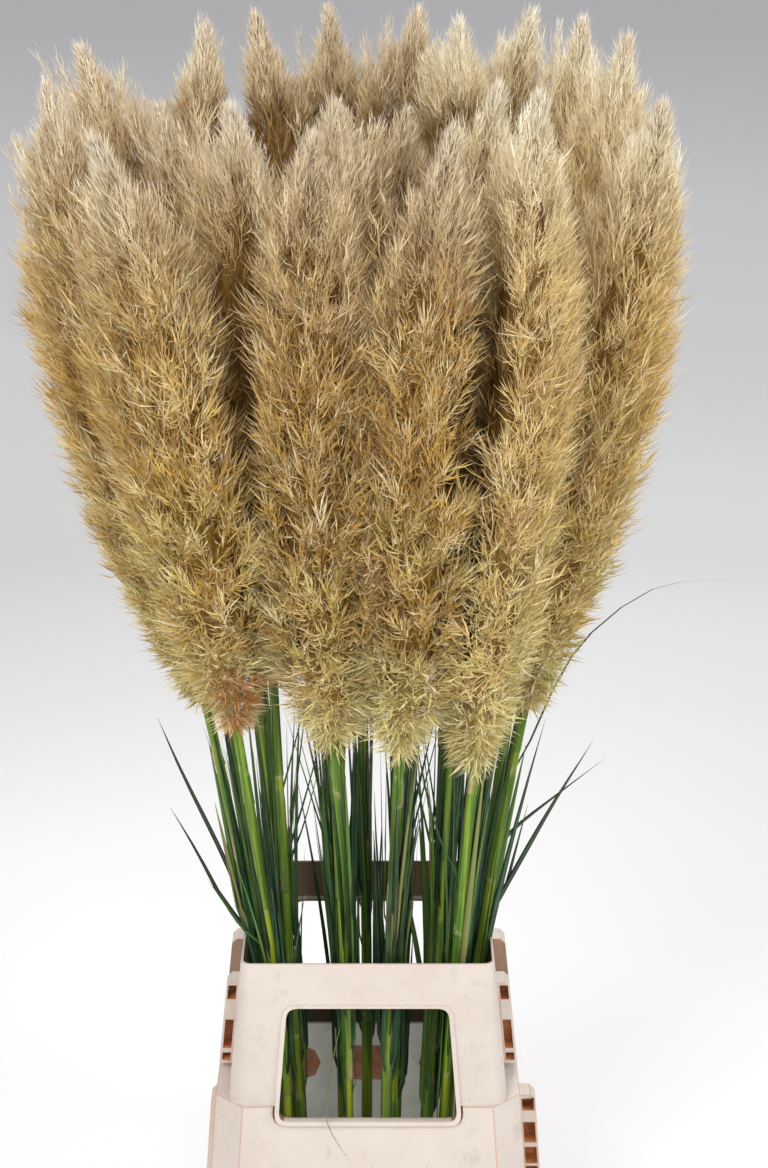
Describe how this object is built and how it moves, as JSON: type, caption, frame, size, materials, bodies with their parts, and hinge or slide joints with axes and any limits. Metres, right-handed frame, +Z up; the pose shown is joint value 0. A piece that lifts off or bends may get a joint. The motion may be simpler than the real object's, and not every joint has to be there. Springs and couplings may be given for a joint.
{
  "type": "pampas grass plant",
  "caption": "Cut pampas grass with feathery plumes on green leafy stems, standing in water in a plastic flower bucket with a windowed collar.",
  "frame": {"origin": "centre of the bucket's foot, on the surface that it stands on", "axes": "+X to the right and -Y to the front, through the collar's windows, with +Z up along the stems"},
  "size_m": [0.8319, 0.6627, 1.545],
  "materials": {
    "plastic": "cream moulded plastic, satin, with light scuffs",
    "water": "clear still water, slightly green",
    "stem": "fresh green grass culm and leaf, satin",
    "plume": "dry straw-coloured seed hairs, silky at the tips"
  },
  "bodies": {
    "root": {"bucket": "plastic", "collar": "plastic", "water": "water", "stem_01": "stem", "stem_02": "stem", "stem_03": "stem", "stem_04": "stem", "stem_05": "stem", "stem_06": "stem", "stem_07": "stem", "stem_08": "stem", "stem_09": "stem", "stem_10": "stem", "stem_11": "stem", "stem_12": "stem", "stem_13": "stem", "stem_14": "stem", "stem_15": "stem", "stem_16": "stem", "stem_17": "stem", "stem_18": "stem", "stem_19": "stem", "stem_20": "stem", "plume_01": "plume", "plume_02": "plume", "plume_03": "plume", "plume_04": "plume", "plume_05": "plume", "plume_06": "plume", "plume_07": "plume", "plume_08": "plume", "plume_09": "plume", "plume_10": "plume", "plume_11": "plume", "plume_12": "plume", "plume_13": "plume", "plume_14": "plume", "plume_15": "plume", "plume_16": "plume", "plume_17": "plume", "plume_18": "plume", "plume_19": "plume", "plume_20": "plume"}
  },
  "joints": []
}
